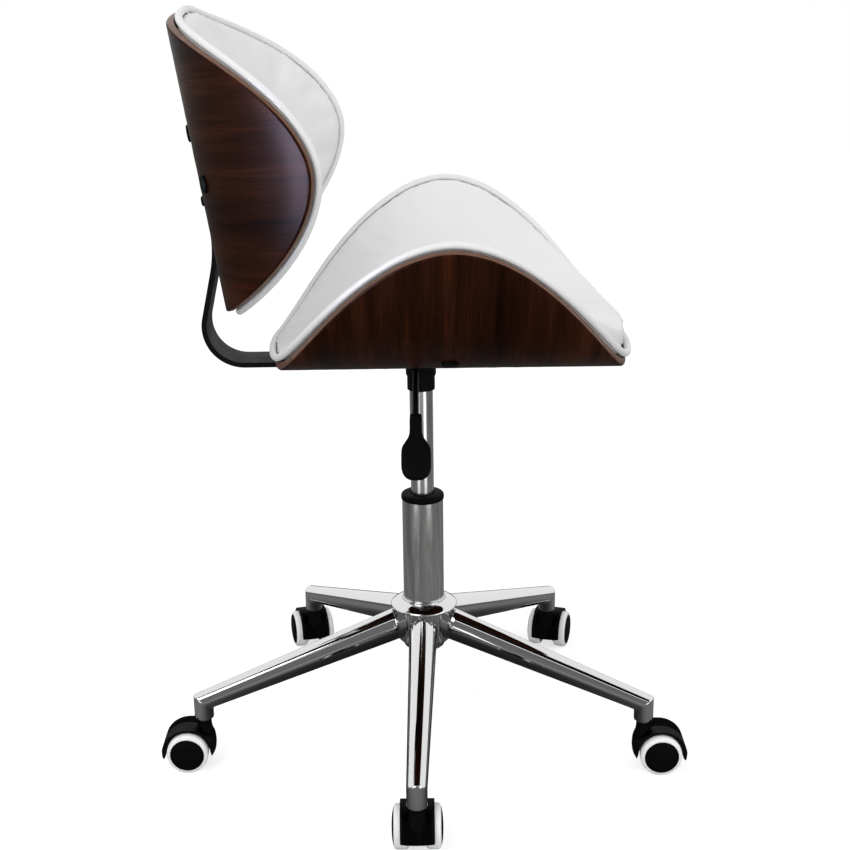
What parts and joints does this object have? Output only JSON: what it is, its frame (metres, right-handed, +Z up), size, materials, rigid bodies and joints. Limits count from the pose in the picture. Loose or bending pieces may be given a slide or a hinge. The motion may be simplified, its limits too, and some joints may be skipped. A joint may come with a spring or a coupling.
{
  "type": "office chair",
  "caption": "Height-adjustable swivel chair with bent-ply seat and back shells, padded cushions, a bent flat bar and a chromed star base on twin-wheel casters.",
  "frame": {"origin": "on the floor under the column's axis", "axes": "+Z up, -Y the way the sitter faces, +X to the sitter's left"},
  "size_m": [0.5766, 0.631, 0.8882],
  "materials": {
    "white_leather": "smooth white leather-look cover",
    "walnut_ply": "satin dark walnut veneer on bent ply",
    "base_chrome": "bright chrome",
    "column_chrome": "satin chrome",
    "cylinder_chrome": "bright chrome",
    "white_tyre": "soft white tread",
    "black_plastic": "fine satin black nylon",
    "black_steel": "satin black powder coat",
    "bare_steel": "plain turned steel"
  },
  "bodies": {
    "base": {"base_hub": "base_chrome", "base_arm_1": "base_chrome", "base_arm_2": "base_chrome", "base_arm_3": "base_chrome", "base_arm_4": "base_chrome", "base_arm_5": "base_chrome", "column_tube": "column_chrome", "column_bush": "black_plastic", "thrust_bearing": "bare_steel"},
    "rod": {"piston_rod": "bare_steel", "piston": "bare_steel", "retaining_clip": "bare_steel"},
    "seat": {"pressure_cylinder": "cylinder_chrome", "seat_mechanism": "black_steel", "back_strap": "black_steel", "seat_shell": "walnut_ply", "seat_cushion": "white_leather", "back_shell": "walnut_ply", "back_cushion": "white_leather", "mechanism_bolts": "bare_steel", "strap_bolts": "black_steel", "shell_caps": "black_plastic"},
    "lever": {"lever_rod": "black_steel", "lever_paddle": "black_plastic"},
    "pin": {"release_pin": "bare_steel"},
    "caster_1": {"caster_1_hood": "black_plastic", "caster_1_stem": "bare_steel", "caster_1_axle": "bare_steel"},
    "caster_1_wheel_a": {"caster_1_wheel_a_core": "black_plastic", "caster_1_wheel_a_tyre": "white_tyre"},
    "caster_1_wheel_b": {"caster_1_wheel_b_core": "black_plastic", "caster_1_wheel_b_tyre": "white_tyre"},
    "caster_2": {"caster_2_hood": "black_plastic", "caster_2_stem": "bare_steel", "caster_2_axle": "bare_steel"},
    "caster_2_wheel_a": {"caster_2_wheel_a_core": "black_plastic", "caster_2_wheel_a_tyre": "white_tyre"},
    "caster_2_wheel_b": {"caster_2_wheel_b_core": "black_plastic", "caster_2_wheel_b_tyre": "white_tyre"},
    "caster_3": {"caster_3_hood": "black_plastic", "caster_3_stem": "bare_steel", "caster_3_axle": "bare_steel"},
    "caster_3_wheel_a": {"caster_3_wheel_a_core": "black_plastic", "caster_3_wheel_a_tyre": "white_tyre"},
    "caster_3_wheel_b": {"caster_3_wheel_b_core": "black_plastic", "caster_3_wheel_b_tyre": "white_tyre"},
    "caster_4": {"caster_4_hood": "black_plastic", "caster_4_stem": "bare_steel", "caster_4_axle": "bare_steel"},
    "caster_4_wheel_a": {"caster_4_wheel_a_core": "black_plastic", "caster_4_wheel_a_tyre": "white_tyre"},
    "caster_4_wheel_b": {"caster_4_wheel_b_core": "black_plastic", "caster_4_wheel_b_tyre": "white_tyre"},
    "caster_5": {"caster_5_hood": "black_plastic", "caster_5_stem": "bare_steel", "caster_5_axle": "bare_steel"},
    "caster_5_wheel_a": {"caster_5_wheel_a_core": "black_plastic", "caster_5_wheel_a_tyre": "white_tyre"},
    "caster_5_wheel_b": {"caster_5_wheel_b_core": "black_plastic", "caster_5_wheel_b_tyre": "white_tyre"}
  },
  "joints": [
    {"name": "swivel", "type": "hinge", "parent": "base", "child": "rod", "pos_m": [0, 0, 0.13], "axis": [0, 0, 1], "continuous": true},
    {"name": "gas_lift", "type": "slide", "parent": "rod", "child": "seat", "axis": [0, 0, 1], "range_m": [-0.105, 0]},
    {"name": "lever_tilt", "type": "hinge", "parent": "seat", "child": "lever", "pos_m": [-0.038, 0.006, 0.4905], "axis": [0, 1, 0], "range_deg": [0, 5], "stiffness_Nm_per_rad": 10},
    {"name": "release_pin_slide", "type": "slide", "parent": "seat", "child": "pin", "axis": [0, 0, -1], "range_m": [0, 0.0034]},
    {"name": "caster_1_swivel", "type": "hinge", "parent": "base", "child": "caster_1", "pos_m": [-0.27981, 0.01026, 0.07], "axis": [0, 0, 1], "continuous": true},
    {"name": "caster_1_roll_a", "type": "hinge", "parent": "caster_1", "child": "caster_1_wheel_a", "pos_m": [-0.26001, 0.01026, 0.025], "axis": [0, 1, 0], "continuous": true},
    {"name": "caster_1_roll_b", "type": "hinge", "parent": "caster_1", "child": "caster_1_wheel_b", "pos_m": [-0.26001, 0.01026, 0.025], "axis": [0, 1, 0], "continuous": true},
    {"name": "caster_2_swivel", "type": "hinge", "parent": "base", "child": "caster_2", "pos_m": [-0.09623, -0.26295, 0.07], "axis": [0, 0, 1], "continuous": true},
    {"name": "caster_2_roll_a", "type": "hinge", "parent": "caster_2", "child": "caster_2_wheel_a", "pos_m": [-0.09623, -0.28275, 0.025], "axis": [1, 0, 0], "continuous": true},
    {"name": "caster_2_roll_b", "type": "hinge", "parent": "caster_2", "child": "caster_2_wheel_b", "pos_m": [-0.09623, -0.28275, 0.025], "axis": [1, 0, 0], "continuous": true},
    {"name": "caster_3_swivel", "type": "hinge", "parent": "base", "child": "caster_3", "pos_m": [0.22034, -0.17277, 0.07], "axis": [0, 0, 1], "continuous": true},
    {"name": "caster_3_roll_a", "type": "hinge", "parent": "caster_3", "child": "caster_3_wheel_a", "pos_m": [0.23928, -0.17856, 0.025], "axis": [0.2924, 0.9563, 0], "continuous": true},
    {"name": "caster_3_roll_b", "type": "hinge", "parent": "caster_3", "child": "caster_3_wheel_b", "pos_m": [0.23928, -0.17856, 0.025], "axis": [0.2924, 0.9563, 0], "continuous": true},
    {"name": "caster_4_swivel", "type": "hinge", "parent": "base", "child": "caster_4", "pos_m": [0.2324, 0.15617, 0.07], "axis": [0, 0, 1], "continuous": true},
    {"name": "caster_4_roll_a", "type": "hinge", "parent": "caster_4", "child": "caster_4_wheel_a", "pos_m": [0.25148, 0.16146, 0.025], "axis": [-0.2672, 0.9636, 0], "continuous": true},
    {"name": "caster_4_roll_b", "type": "hinge", "parent": "caster_4", "child": "caster_4_wheel_b", "pos_m": [0.25148, 0.16146, 0.025], "axis": [-0.2672, 0.9636, 0], "continuous": true},
    {"name": "caster_5_swivel", "type": "hinge", "parent": "base", "child": "caster_5", "pos_m": [-0.07671, 0.26929, 0.07], "axis": [0, 0, 1], "continuous": true},
    {"name": "caster_5_roll_a", "type": "hinge", "parent": "caster_5", "child": "caster_5_wheel_a", "pos_m": [-0.07671, 0.28909, 0.025], "axis": [-1, 0, 0], "continuous": true},
    {"name": "caster_5_roll_b", "type": "hinge", "parent": "caster_5", "child": "caster_5_wheel_b", "pos_m": [-0.07671, 0.28909, 0.025], "axis": [-1, 0, 0], "continuous": true}
  ],
  "couplings": [
    {"joint": "release_pin_slide", "follows": "lever_tilt", "m_per_rad": 0.038097}
  ]
}
